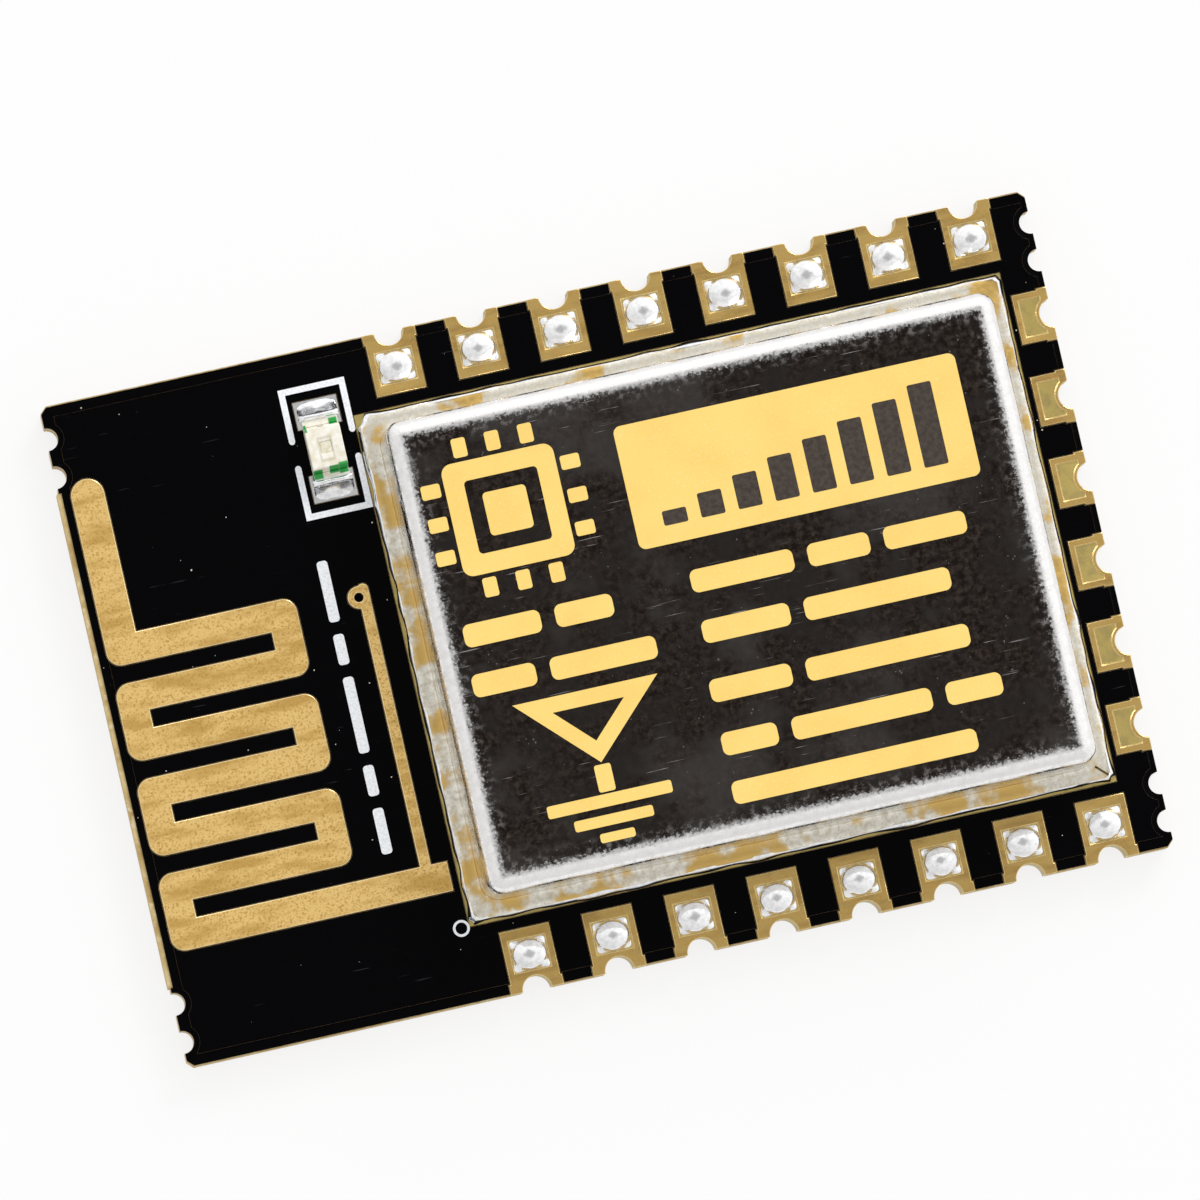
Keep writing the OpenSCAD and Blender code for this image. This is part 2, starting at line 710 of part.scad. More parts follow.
module ground_ring() { gold() translate([0, 0, top_z]) linear_extrude(copper_t) ring_outline(); }

module component_lands() {
    gold() translate([0, 0, top_z]) linear_extrude(copper_t) {
        lamp_lands();
        inner_lands();
    }
}

// Leadless radio chip, a moulded square with one bevelled corner
module radio_chip() {
    bevel = 0.3;
    color([0.12, 0.12, 0.13]) translate([each radio_pos, land_z + radio_pad_t])
        linear_extrude(radio_h) difference() {
            square(radio_w, center = true);
            translate([-radio_w / 2, radio_w / 2]) rotate(45) square(bevel, center = true);
        }
}

module radio_chip_pads() {
    solder() translate([0, 0, land_z]) linear_extrude(radio_pad_t) {
        at_radio_pads() square([radio_pad_w, radio_pad_l], center = true);
        translate(radio_pos) square(radio_paddle_w, center = true);
    }
}

// Memory chip's body, with a dimple at its first lead
module flash_body() {
    dimple_r = 0.3;
    dimple_d = 0.05;
    dimple_in = 0.8;
    color([0.12, 0.12, 0.13]) translate([each flash_pos, land_z + flash_rise]) difference() {
        translate([-flash_w / 2, -flash_l / 2, 0]) cube([flash_w, flash_l, flash_h]);
        translate([-flash_w / 2 + dimple_in, flash_l / 2 - dimple_in, flash_h - dimple_d])
            cylinder(h = past, r = dimple_r);
    }
}

// Eight gull-wing leads
module flash_leads() {
    b = flash_l / 2;
    tip = flash_span / 2;
    heel = b + (tip - b) * 0.42;
    knee = b + (tip - b) * 0.3;
    rise = flash_rise + flash_h / 2;
    color([0.8, 0.8, 0.8]) translate([0, 0, land_z]) at_flash_leads()
        translate([-lead_w / 2, 0, 0]) rotate([90, 0, 90]) linear_extrude(lead_w) polygon([
            [b, rise], [knee + lead_t, rise], [heel + lead_t, lead_t], [tip, lead_t], [tip, 0],
            [heel, 0], [knee, rise - lead_t], [b, rise - lead_t]
        ]);
}

// Crystal's ceramic base on its four pads
module crystal_base() {
    color([0.3, 0.28, 0.26]) translate([0, 0, land_z]) {
        translate([each crystal_pos, crystal_pad_t]) linear_extrude(crystal_h - crystal_lid_h)
            round_block([crystal_l, crystal_w], 0.15);
        linear_extrude(crystal_pad_t) at_crystal_pads() square(crystal_pad, center = true);
    }
}

module crystal_lid() {
    rim = 0.15;
    color([0.8, 0.8, 0.78])
        translate([each crystal_pos, land_z + crystal_pad_t + crystal_h - crystal_lid_h])
            linear_extrude(crystal_lid_h) round_block([crystal_l - 2 * rim, crystal_w - 2 * rim], 0.3);
}

// Ceramic middles and soldered ends of the small two-ended components of height h
module chip_bodies(places, h) {
    for (p = places) translate([each p, land_z + h / 2])
        cube([chip_l - 2 * chip_end, chip_w - 2 * body_inset, h - 2 * body_inset], center = true);
}
module chip_ends(places, h) {
    solder() translate([0, 0, land_z]) linear_extrude(h) at_chip_ends(places)
        square([chip_end, chip_w], center = true);
}

module capacitor_bodies() { color([0.62, 0.5, 0.36]) chip_bodies(capacitor_places, capacitor_h); }
module capacitor_ends() { chip_ends(capacitor_places, capacitor_h); }
module resistor_bodies() { color([0.1, 0.1, 0.1]) chip_bodies(resistor_places, resistor_h); }
module resistor_ends() { chip_ends(resistor_places, resistor_h); }
module inductor_bodies() { color([0.75, 0.78, 0.8]) chip_bodies(inductor_places, inductor_h); }
module inductor_ends() { chip_ends(inductor_places, inductor_h); }

board_core();
top_mask();
bottom_mask();
antenna_trace();
contact_n(1);  // contact_n1
contact_n(2);  // contact_n2
contact_n(3);  // contact_n3
contact_n(4);  // contact_n4
contact_n(5);  // contact_n5
contact_n(6);  // contact_n6
contact_n(7);  // contact_n7
contact_n(8);  // contact_n8
contact_s(1);  // contact_s1
contact_s(2);  // contact_s2
contact_s(3);  // contact_s3
contact_s(4);  // contact_s4
contact_s(5);  // contact_s5
contact_s(6);  // contact_s6
contact_s(7);  // contact_s7
contact_s(8);  // contact_s8
contact_e(1);  // contact_e1
contact_e(2);  // contact_e2
contact_e(3);  // contact_e3
contact_e(4);  // contact_e4
contact_e(5);  // contact_e5
contact_e(6);  // contact_e6
solder_domes_north();
solder_domes_south();
silkscreen();
led_base();
led_lens();
led_die();
led_terminals();
led_solder();
shield_can();
can_solder();
ground_ring();
component_lands();
radio_chip();
radio_chip_pads();
flash_body();
flash_leads();
crystal_base();
crystal_lid();
capacitor_bodies();
capacitor_ends();
resistor_bodies();
resistor_ends();
inductor_bodies();
inductor_ends();
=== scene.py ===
"""Finish of a castellated radio module: a black lacquered board with a gold meander antenna, gold edge
contacts with solder pillows, a small lamp and a tinned shield can soldered over the circuit.

Lengths are in metres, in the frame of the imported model: +X runs from the antenna to the end contacts
and +Z is up, out of the component side."""

import math

import bmesh
import bpy
import numpy as np
from mathutils import Matrix, Vector


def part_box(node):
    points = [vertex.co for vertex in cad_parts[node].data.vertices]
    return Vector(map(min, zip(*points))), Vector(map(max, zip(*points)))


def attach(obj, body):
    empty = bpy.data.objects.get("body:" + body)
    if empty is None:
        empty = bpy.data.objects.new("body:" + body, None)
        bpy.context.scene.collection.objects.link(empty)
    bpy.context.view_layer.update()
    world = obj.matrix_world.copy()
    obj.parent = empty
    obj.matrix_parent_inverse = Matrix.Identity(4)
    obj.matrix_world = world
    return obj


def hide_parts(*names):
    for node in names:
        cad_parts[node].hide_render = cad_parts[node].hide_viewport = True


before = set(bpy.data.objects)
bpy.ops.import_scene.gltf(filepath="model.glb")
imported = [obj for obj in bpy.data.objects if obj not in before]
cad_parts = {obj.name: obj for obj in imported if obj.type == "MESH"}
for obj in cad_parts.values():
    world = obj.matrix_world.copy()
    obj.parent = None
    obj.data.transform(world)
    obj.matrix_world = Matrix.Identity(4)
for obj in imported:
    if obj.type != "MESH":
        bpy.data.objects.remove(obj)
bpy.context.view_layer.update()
MM = 0.001


# ---------------------------------------------------------------- camera
VIEW_TILT_X = math.radians(-4.5)
VIEW_TILT_Y = math.radians(3.5)
VIEW_TURN = math.radians(12.85)
VIEW_DISTANCE = 300 * MM
VIEW_CENTRE = (-0.11 * MM, 0.71 * MM)
VIEW_WIDTH = 28.47 * MM


def view_turn():
    """Turn of the object as the camera sees it: about Z first, then about Y and X."""
    return (
        Matrix.Rotation(VIEW_TILT_X, 4, "X")
        @ Matrix.Rotation(VIEW_TILT_Y, 4, "Y")
        @ Matrix.Rotation(VIEW_TURN, 4, "Z")
    )


def make_camera():
    data = bpy.data.cameras.new("camera")
    data.type = "PERSP"
    data.lens = data.sensor_width * VIEW_DISTANCE / VIEW_WIDTH
    data.clip_start = 10 * MM
    data.clip_end = 10
    camera = bpy.data.objects.new("camera", data)
    camera.matrix_world = view_turn().inverted() @ Matrix.Translation((*VIEW_CENTRE, VIEW_DISTANCE))
    bpy.context.scene.collection.objects.link(camera)
    bpy.context.scene.camera = camera


make_camera()
bpy.context.scene.view_settings.view_transform = "Standard"


# ---------------------------------------------------------------- meshes
def corners(node):
    """Lowest and highest corner of a CAD node."""
    return tuple(np.array(corner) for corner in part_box(node))


def finish_piece(name, mesh, material, nodes, smooth_angle=35):
    """Turns a mesh in place into a piece of the module that stands for the CAD nodes."""
    work = bmesh.new()
    work.from_mesh(mesh)
    bmesh.ops.remove_doubles(work, verts=work.verts, dist=1e-8)
    bmesh.ops.recalc_face_normals(work, faces=work.faces)
    work.to_mesh(mesh)
    work.free()
    mesh.shade_smooth()
    mesh.set_sharp_from_angle(angle=math.radians(smooth_angle))
    piece = bpy.data.objects.new(name, mesh)
    bpy.context.scene.collection.objects.link(piece)
    piece.data.materials.clear()
    piece.data.materials.append(material)
    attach(piece, "root")
    if nodes:
        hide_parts(*nodes)
    return piece


def soften(node, width, material, edge_material=None, segments=2):
    """A copy of a CAD node whose edges are rounded over by width, so that they catch the light."""
    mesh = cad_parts[node].data.copy()
    work = bmesh.new()
    work.from_mesh(mesh)
    bmesh.ops.remove_doubles(work, verts=work.verts, dist=1e-7)
    bmesh.ops.dissolve_limit(work, angle_limit=math.radians(1), verts=work.verts, edges=work.edges)
    work.to_mesh(mesh)
    work.free()
    piece = finish_piece(node + "_rounded", mesh, material, [node])
    bevel = piece.modifiers.new("edges", "BEVEL")
    bevel.width = width
    bevel.segments = segments
    bevel.limit_method = "ANGLE"
    bevel.angle_limit = math.radians(40)
    bevel.use_clamp_overlap = True
    flat = piece.modifiers.new("flat faces", "WEIGHTED_NORMAL")
    flat.keep_sharp = True
    # The rounded faces take their own finish where one is given; on the gold contacts and antenna that
    # finish is a painted highlight.
    if edge_material:
        piece.data.materials.append(edge_material)
        bevel.material = 1
    return piece


def grid_faces(rows, cols, close_rows=False, close_cols=False):
    """Quads over a grid of points stored row by row; a closed direction joins its last line to its first."""
    row = np.arange(rows if close_rows else rows - 1)[:, None]
    col = np.arange(cols if close_cols else cols - 1)[None, :]
    below = (row + 1) % rows
    right = (col + 1) % cols
    quads = [row * cols + col, below * cols + col, below * cols + right, row * cols + right]
    return np.stack(np.broadcast_arrays(*quads), -1).reshape(-1, 4)


class Shell:
    """Points and faces of one piece, gathered from several surfaces."""

    def __init__(self):
        self.points = []
        self.faces = []
        self.count = 0

    def add(self, points, faces):
        points = np.asarray(points, float).reshape(-1, 3)
        self.faces += [tuple(int(i) + self.count for i in face) for face in faces]
        self.points.append(points)
        self.count += len(points)

    def rings(self, points):
        """A stack of closed rings, rows x columns x 3, with a flat face over its first and last ring."""
        rows, cols = points.shape[:2]
        faces = [tuple(f) for f in grid_faces(rows, cols, close_cols=True)]
        faces.append(tuple(range(cols)))
        faces.append(tuple(range((rows - 1) * cols, rows * cols))[::-1])
        self.add(points, faces)

    def plate(self, outline, low, high):
        """A flat plate between two levels, from its outline of N x 2 points."""
        levels = np.array([high, low])
        points = np.empty((2, len(outline), 3))
        points[:, :, :2] = outline
        points[:, :, 2] = levels[:, None]
        self.rings(points)

    def hoop(self, outer, inner, low, high):
        """A flat plate with a hole: both outlines have the same number of points."""
        points = np.empty((4, len(outer), 3))
        points[:, :, :2] = (outer, outer, inner, inner)
        points[:, :, 2] = np.array([high, low, low, high])[:, None]
        self.add(points, grid_faces(4, len(outer), close_rows=True, close_cols=True))

    def mesh(self, name):
        mesh = bpy.data.meshes.new(name)
        mesh.from_pydata(np.concatenate(self.points).tolist(), [], self.faces)
        return mesh


CORNER_SIGNS = ((1, 1), (-1, 1), (-1, -1), (1, -1))


def box_ring(mid, half, inset, legs, arc, corner_steps, side_steps):
    """A rectangle drawn in by inset. Each corner goes, over its leg, from a straight bevel (arc 0) to a
    quarter circle (arc 1): corner centre + leg * ((1 - arc) * chord + arc * (cos, sin))."""
    reach = np.asarray(half, float) - inset
    stretches = []
    for k, signs in enumerate(CORNER_SIGNS):
        leg = legs[k]
        centre = np.array(signs) * (reach - leg)
        angles = (k + corner_steps) * np.pi / 2
        circle = np.stack([np.cos(angles), np.sin(angles)], -1)
        chord = circle[0] + corner_steps[:, None] * (circle[-1] - circle[0])
        stretches.append(mid + centre + leg * ((1 - arc) * chord + arc * circle))
    joined = []
    for k, stretch in enumerate(stretches):
        following = stretches[(k + 1) % 4]
        steps = np.linspace(0, 1, side_steps + 2)[1:-1, None]
        joined += [stretch, stretch[-1] + steps * (following[0] - stretch[-1])]
    return np.concatenate(joined)


def round_box(mid, half, radius, steps=7):
    """Outline of a rectangle with round corners."""
    return box_ring(np.array(mid), half, 0, [radius] * 4, 1, np.linspace(0, 1, steps), 0)


def circle(mid, radius, steps=40):
    """Outline of a circle."""
    angles = np.linspace(0, 2 * np.pi, steps, endpoint=False)
    return np.array(mid) + radius * np.stack([np.cos(angles), np.sin(angles)], -1)


def stroke(path, width, steps=7):
    """Outline of a line of the given width along a path: mitred at its corners and round at both ends."""
    path = np.asarray(path, float)
    ahead = np.diff(path, axis=0)
    ahead /= np.linalg.norm(ahead, axis=1)[:, None]
    left = np.stack([-ahead[:, 1], ahead[:, 0]], -1)
    before, after = left[:-1], left[1:]
    mitre = (before + after) / (1 + (before * after).sum(1))[:, None]
    offset = np.concatenate([left[:1], mitre, left[-1:]]) * width / 2
    turn = np.linspace(0, np.pi, steps)[1:-1, None]
    far = path[-1] + (left[-1] * np.cos(turn) + ahead[-1] * np.sin(turn)) * width / 2
    near = path[0] + (-left[0] * np.cos(turn) - ahead[0] * np.sin(turn)) * width / 2
    return np.concatenate([path + offset, far, (path - offset)[::-1], near])


def ripple(length, waves, size, seed):
    """A closed row of numbers that wanders smoothly round 0: a sum of sines with random phases."""
    chance = np.random.default_rng(seed)
    turns = np.linspace(0, 2 * np.pi, length, endpoint=False)
    counts = np.arange(*waves)
    phases = chance.uniform(0, 2 * np.pi, len(counts))
    weights = chance.uniform(0.3, 1, len(counts))
    total = (weights[:, None] * np.sin(counts[:, None] * turns + phases[:, None])).sum(0)
    return size * total / np.abs(total).max()


# ---------------------------------------------------------------- finishes
FRAME_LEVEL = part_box("contact_n1")[1].z / MM
RANGE_SOCKETS = ("From Min", "From Max", "To Min", "To Max")


class Finish:
    """A material on Object coordinates in millimetres, with one Principled shader."""

    def __init__(self, name, **settings):
        self.material = bpy.data.materials.new(name)
        self.material.use_nodes = True
        self.tree = self.material.node_tree
        self.shader = self.tree.nodes["Principled BSDF"]
        self.place = self.stretched((1, 1, 1))
        for socket, value in settings.items():
            self.set(socket.replace("_", " "), value)

    def node(self, kind, **properties):
        made = self.tree.nodes.new(kind)
        for key, value in properties.items():
            setattr(made, key, value)
        return made

    def wire(self, value, socket):
        if isinstance(value, bpy.types.NodeSocket):
            self.tree.links.new(value, socket)
        else:
            socket.default_value = value

    def set(self, socket, value):
        self.wire(value, self.shader.inputs[socket])

    def stretched(self, scale, turn=0):
        """Object coordinates in millimetres, scaled and turned about Z."""
        source = self.node("ShaderNodeTexCoord")
        mapping = self.node("ShaderNodeMapping")
        mapping.inputs["Scale"].default_value = [1000 * s for s in scale]
        mapping.inputs["Rotation"].default_value = (0, 0, math.radians(turn))
        self.tree.links.new(source.outputs["Object"], mapping.inputs["Vector"])
        return mapping.outputs["Vector"]

    def noise(self, per_mm, detail=3, place=None, roughness=0.55):
        made = self.node("ShaderNodeTexNoise")
        self.wire(place or self.place, made.inputs["Vector"])
        made.inputs["Scale"].default_value = per_mm
        made.inputs["Detail"].default_value = detail
        made.inputs["Roughness"].default_value = roughness
        return made.outputs["Fac"]

    def specks(self, per_mm, place=None):
        """Distance from the nearest of scattered points."""
        made = self.node("ShaderNodeTexVoronoi")
        self.wire(place or self.place, made.inputs["Vector"])
        made.inputs["Scale"].default_value = per_mm
        return made.outputs["Distance"]

    def axis(self, name, place=None):
        made = self.node("ShaderNodeSeparateXYZ")
        self.wire(place or self.place, made.inputs[0])
        return made.outputs[name]

    def span(self, value, low, high, out_low=0.0, out_high=1.0):
        """Maps low..high to out_low..out_high, smoothly and clamped."""
        made = self.node("ShaderNodeMapRange", interpolation_type="SMOOTHSTEP")
        self.wire(value, made.inputs["Value"])
        limits = (low, high, out_low, out_high)
        for socket, number in zip(RANGE_SOCKETS, limits):
            self.wire(number, made.inputs[socket])
        return made.outputs["Result"]

    def math(self, operation, first, second=0.0, third=0.0):
        made = self.node("ShaderNodeMath", operation=operation)
        for value, socket in zip((first, second, third), made.inputs):
            self.wire(value, socket)
        return made.outputs[0]

    def blend(self, share, first, second):
        """Colour that goes from first to second as share goes from 0 to 1."""
        made = self.node("ShaderNodeMix", data_type="RGBA")
        self.wire(share, made.inputs["Factor"])
        for value, socket in ((first, made.inputs[6]), (second, made.inputs[7])):
            self.wire(value if isinstance(value, bpy.types.NodeSocket) else (*value, 1), socket)
        return made.outputs[2]

    def bump(self, height, depth):
        """Raises the surface by depth where height goes from 0 to 1."""
        made = self.node("ShaderNodeBump")
        made.inputs["Strength"].default_value = 1
        made.inputs["Distance"].default_value = depth
        self.wire(height, made.inputs["Height"])
        self.set("Normal", made.outputs["Normal"])


def gold_finish(name, light, worn):
    """Soft matte gold over plated copper: fine grain, broad clouds, darker on the sunk window floors."""
    gold = Finish(name, Metallic=0.85)
    grain = gold.noise(20, 5)
    cloud = gold.noise(1.6, 4, gold.stretched((0.45, 1.8, 1)))
    tone = gold.blend(gold.span(cloud, 0.42, 0.68), light, worn)
    top = gold.blend(gold.span(grain, 0.45, 0.7), tone, (0.50, 0.29, 0.07))
    # The sunk window floors, picked out by height, take their own olive gold tone.
    sunk = gold.span(gold.axis("Z"), FRAME_LEVEL - 0.012, FRAME_LEVEL - 0.024)
    sunk_floor_tone = gold.blend(gold.span(gold.noise(3, 3), 0.4, 0.65), (0.52, 0.40, 0.13), (0.42, 0.33, 0.12))
    gold.set("Base Color", gold.blend(sunk, top, sunk_floor_tone))
    gold.set("Roughness", gold.span(grain, 0.3, 0.7, 0.36, 0.5))
    gold.bump(grain, 0.005 * MM)
    return gold.material


def painted_highlight_edge_finish(name, dull, bright):
    """Polished rim of a plated land, painted paler and brighter than the land as a painted highlight."""
    edge = Finish(name, Metallic=0.95)
    grain = edge.noise(14, 2)
    edge.set("Base Color", edge.blend(grain, dull, bright))
    edge.set("Roughness", edge.span(grain, 0.3, 0.7, 0.18, 0.3))
    return edge.material


def laminate_finish():
    """Glass cloth and resin: tan layers seen on the routed edges."""
    board = Finish("laminate")
    layers = board.noise(1, 3, board.stretched((2, 2, 26)))
    fibres = board.noise(5, 4, board.stretched((1, 1, 5)))
    tone = board.blend(board.span(layers, 0.35, 0.65), (0.60, 0.45, 0.20), (0.42, 0.28, 0.09))
    board.set("Base Color", board.blend(board.span(fibres, 0.5, 0.75), tone, (0.72, 0.60, 0.36)))
    board.set("Roughness", board.span(fibres, 0.3, 0.7, 0.45, 0.7))
    board.bump(fibres, 0.01 * MM)
    return board.material


def lacquer_finish():
    """Glossy black lacquer with dust, short scratches and slight waves."""
    lacquer = Finish("black_lacquer", Specular_IOR_Level=0.03)
    dust_spots = lacquer.specks(4.2)
    dust_size = lacquer.noise(1.3, 3)
    dust = lacquer.math("LESS_THAN", dust_spots, lacquer.span(dust_size, 0.48, 0.72, 0.0, 0.1))
    lines = lacquer.noise(2.2, 2, lacquer.stretched((0.35, 9, 1), 28))
    patches = lacquer.noise(0.8, 2)
    scratch = lacquer.math("MULTIPLY", lacquer.span(lines, 0.71, 0.75), lacquer.span(patches, 0.5, 0.62))
    base = lacquer.blend(scratch, (0.0012, 0.0012, 0.0016), (0.03, 0.03, 0.032))
    lacquer.set("Base Color", lacquer.blend(dust, base, (0.6, 0.56, 0.48)))
    lacquer.set("Roughness", lacquer.span(lacquer.noise(4, 3), 0.3, 0.7, 0.16, 0.26))
    lacquer.bump(lacquer.noise(2.4, 2), 0.001 * MM)
    return lacquer.material


def thin_lacquer_finish():
    """The lacquer's sloping rim, thin enough for the copper and resin to show brown through it."""
    rim = Finish("thin_lacquer", Specular_IOR_Level=0.4, Roughness=0.3)
    rim.set("Base Color", rim.blend(rim.noise(3, 2), (0.16, 0.08, 0.02), (0.05, 0.03, 0.012)))
    return rim.material


def solder_finish():
    """Bright reflowed solder with a faint skin."""
    solder = Finish("solder", Metallic=1.0)
    skin = solder.noise(9, 3)
    dull = solder.span(skin, 0.35, 0.7)
    solder.set("Base Color", solder.blend(dull, (0.95, 0.95, 0.95), (0.80, 0.80, 0.81)))
    solder.set("Roughness", solder.span(skin, 0.3, 0.7, 0.10, 0.22))
    solder.bump(solder.noise(7, 2), 0.004 * MM)
    return solder.material


def can_finish(face_low, face_high):
    """Tinned sheet: a scuffed brown-grey face inside a polished rim, and a stained flange. The face is dark
    partly in its own colour and partly as a painted reflection of a dark room overhead, with a painted sheen
    of broad lighter clouds.
    """
    can = Finish("tinned_sheet", Metallic=1.0)
    x, y, z = (can.axis(name) for name in "XYZ")
    grit = can.noise(12, 4)
    frayed = can.math("MULTIPLY", can.math("SUBTRACT", grit, 0.5), 0.5)
    to_edge = can.math(
        "MINIMUM",
        *(
            can.math("MINIMUM", can.math("SUBTRACT", place, low), can.math("SUBTRACT", high, place))
            for place, low, high in zip((x, y), face_low, face_high)
        ),
    )
    on_face = can.span(can.math("ADD", to_edge, frayed), -0.03, 0.10)
    cloud = can.noise(0.3, 4)
    mottle = can.noise(6, 6, roughness=0.7)
    soft = can.noise(1.2, 4)
    # The face's dark brown is partly the sheet's own colour and partly a painted reflection of a dark room
    # overhead.
    brown = can.blend(can.span(mottle, 0.38, 0.66), (0.022, 0.016, 0.013), (0.070, 0.054, 0.045))
    brown = can.blend(can.span(soft, 0.35, 0.65), brown, (0.040, 0.034, 0.031))
    # Painted sheen: broad lighter clouds on the face stand in for a soft reflection.
    painted_sheen = can.math("MULTIPLY", can.span(cloud, 0.5, 0.66), 0.55)
    face = can.blend(painted_sheen, brown, (0.11, 0.098, 0.09))
    near_edge = can.span(can.math("ADD", to_edge, frayed), 0.5, 0.0)
    flecks = can.math("LESS_THAN", can.specks(8), can.span(can.noise(2.3, 3), 0.5, 0.75, 0.0, 0.22))
    lines = can.noise(3, 2, can.stretched((0.25, 8, 1), 8))
    scuffs = can.math("MULTIPLY", can.span(lines, 0.66, 0.74), can.span(can.noise(0.9, 2), 0.45, 0.6))
    grey_grain = can.math("MULTIPLY", can.span(mottle, 0.5, 0.66), near_edge)
    wear = can.math("MAXIMUM", scuffs, grey_grain)
    marks = can.math("MAXIMUM", can.math("MULTIPLY", flecks, 0.45), wear)
    face = can.blend(marks, face, (0.34, 0.33, 0.33))
    stain = can.noise(0.9, 4)
    bright = can.blend(can.span(mottle, 0.3, 0.75), (0.93, 0.92, 0.91), (0.80, 0.78, 0.76))
    beige = can.blend(can.span(mottle, 0.35, 0.65), (0.90, 0.87, 0.78), (0.62, 0.57, 0.46))
    flange = can.blend(can.span(stain, 0.47, 0.58), beige, (0.66, 0.44, 0.14))
    low_part = can.span(z, 1.12, 1.0)
    can.set("Base Color", can.blend(on_face, can.blend(low_part, bright, flange), face))
    rough = can.math("ADD", can.span(mottle, 0.3, 0.7, 0.18, 0.28), can.math("MULTIPLY", marks, 0.15))
    can.set("Roughness", can.math("ADD", rough, can.math("MULTIPLY", low_part, 0.15)))
    can.bump(can.math("ADD", mottle, can.math("MULTIPLY", marks, 0.5)), 0.003 * MM)
    return can.material


def lid_print_finish():
    """Pale gold mark etched into the lid."""
    mark = Finish("lid_print", Specular_IOR_Level=0.2)
    cloud = mark.noise(0.7, 4)
    grain = mark.noise(16, 3)
    tone = mark.blend(mark.span(cloud, 0.35, 0.7), (0.93, 0.66, 0.19), (0.90, 0.62, 0.17))
    mark.set("Base Color", mark.blend(mark.span(grain, 0.55, 0.85), tone, (0.95, 0.78, 0.40)))
    mark.set("Roughness", 0.55)
    mark.bump(grain, 0.002 * MM)
    return mark.material


def board_print_finish():
    """White print with slightly uneven ink."""
    ink = Finish("white_print", Specular_IOR_Level=0.3)
    grain = ink.noise(18, 3)
    ink.set("Base Color", ink.blend(ink.span(grain, 0.35, 0.75), (0.92, 0.93, 0.95), (0.70, 0.73, 0.78)))
    ink.set("Roughness", 0.6)
    ink.bump(grain, 0.006 * MM)
    return ink.material


def plain_finish(name, light, dark, rough, metallic=0.0, per_mm=8.0, depth=0.004):
    """Two tones of one colour in a fine grain, for the small moulded, ceramic and plated pieces."""
    plain = Finish(name, Metallic=metallic)
    grain = plain.noise(per_mm, 4)
    plain.set("Base Color", plain.blend(plain.span(grain, 0.3, 0.7), light, dark))
    plain.set("Roughness", plain.span(grain, 0.3, 0.7, rough * 0.8, rough * 1.2))
    plain.bump(grain, depth * MM)
    return plain.material


# ---------------------------------------------------------------- levels and places
can_low, can_high = corners("shield_can")
land_z = can_low[2]
SHEET = 0.2 * MM
FLANGE = 0.35 * MM
DRAFT = 0.05 * MM
WALL_CORNER = 0.45 * MM
RIM_RADIUS = 0.38 * MM
can_mid = ((can_low + can_high) / 2)[:2]
can_half = ((can_high - can_low) / 2)[:2]
lid_low = can_low[:2] + FLANGE + DRAFT + RIM_RADIUS
lid_high = can_high[:2] - FLANGE - DRAFT - RIM_RADIUS

gold = gold_finish("contact_gold", (0.52, 0.36, 0.12), (0.38, 0.25, 0.08))
antenna_gold = gold_finish("antenna_gold", (0.90, 0.62, 0.23), (0.64, 0.40, 0.11))
# Painted highlight: the rounded edges of the contacts and antenna take a paler, brighter gold than their
# tops.
contact_edge_highlight = painted_highlight_edge_finish("contact_edge_highlight", (0.60, 0.41, 0.15), (0.88, 0.68, 0.34))
antenna_edge_highlight = painted_highlight_edge_finish("antenna_edge_highlight", (0.85, 0.62, 0.28), (0.96, 0.80, 0.50))
laminate = laminate_finish()
lacquer = lacquer_finish()
thin_lacquer = thin_lacquer_finish()
solder = solder_finish()
tinned_sheet = can_finish(lid_low / MM, lid_high / MM)
lid_print = lid_print_finish()
field_dark = plain_finish("field_dark", (0.10, 0.08, 0.065), (0.05, 0.038, 0.03), 0.35, 0.6)
board_print = board_print_finish()


# ---------------------------------------------------------------- shield can
FLANGE_NICK = 0.12 * MM
LID_MIDDLE = 5.2 * MM
LEAST_LEG = 0.02 * MM
FLANGE_BEVEL = 0.27 * MM
SLIT_SHARE = 0.16


def can_ring(inset, level, legs, arc):
    """One level of the can: a rectangle drawn in by inset, the flange slit across its last corner."""
    steps = np.concatenate([
        np.linspace(0, 0.5 - SLIT_SHARE, 4), [0.5 - SLIT_SHARE * 0.9, 0.5 + SLIT_SHARE * 0.9],
        np.linspace(0.5 + SLIT_SHARE, 1, 4),
    ])
    side_steps = 46
    ring = box_ring(can_mid, can_half, inset, legs, arc, steps, side_steps)
    slit_end = box_ring(can_mid, can_half, max(inset, FLANGE * 0.8), legs, arc, steps, side_steps)
    slit = np.zeros(len(ring), bool)
    start = 3 * (len(steps) + side_steps)
    slit[start + 4 : start + 6] = True
    ring = np.where(slit[:, None], slit_end, ring)
    return np.concatenate([ring, np.full((len(ring), 1), level)], 1)


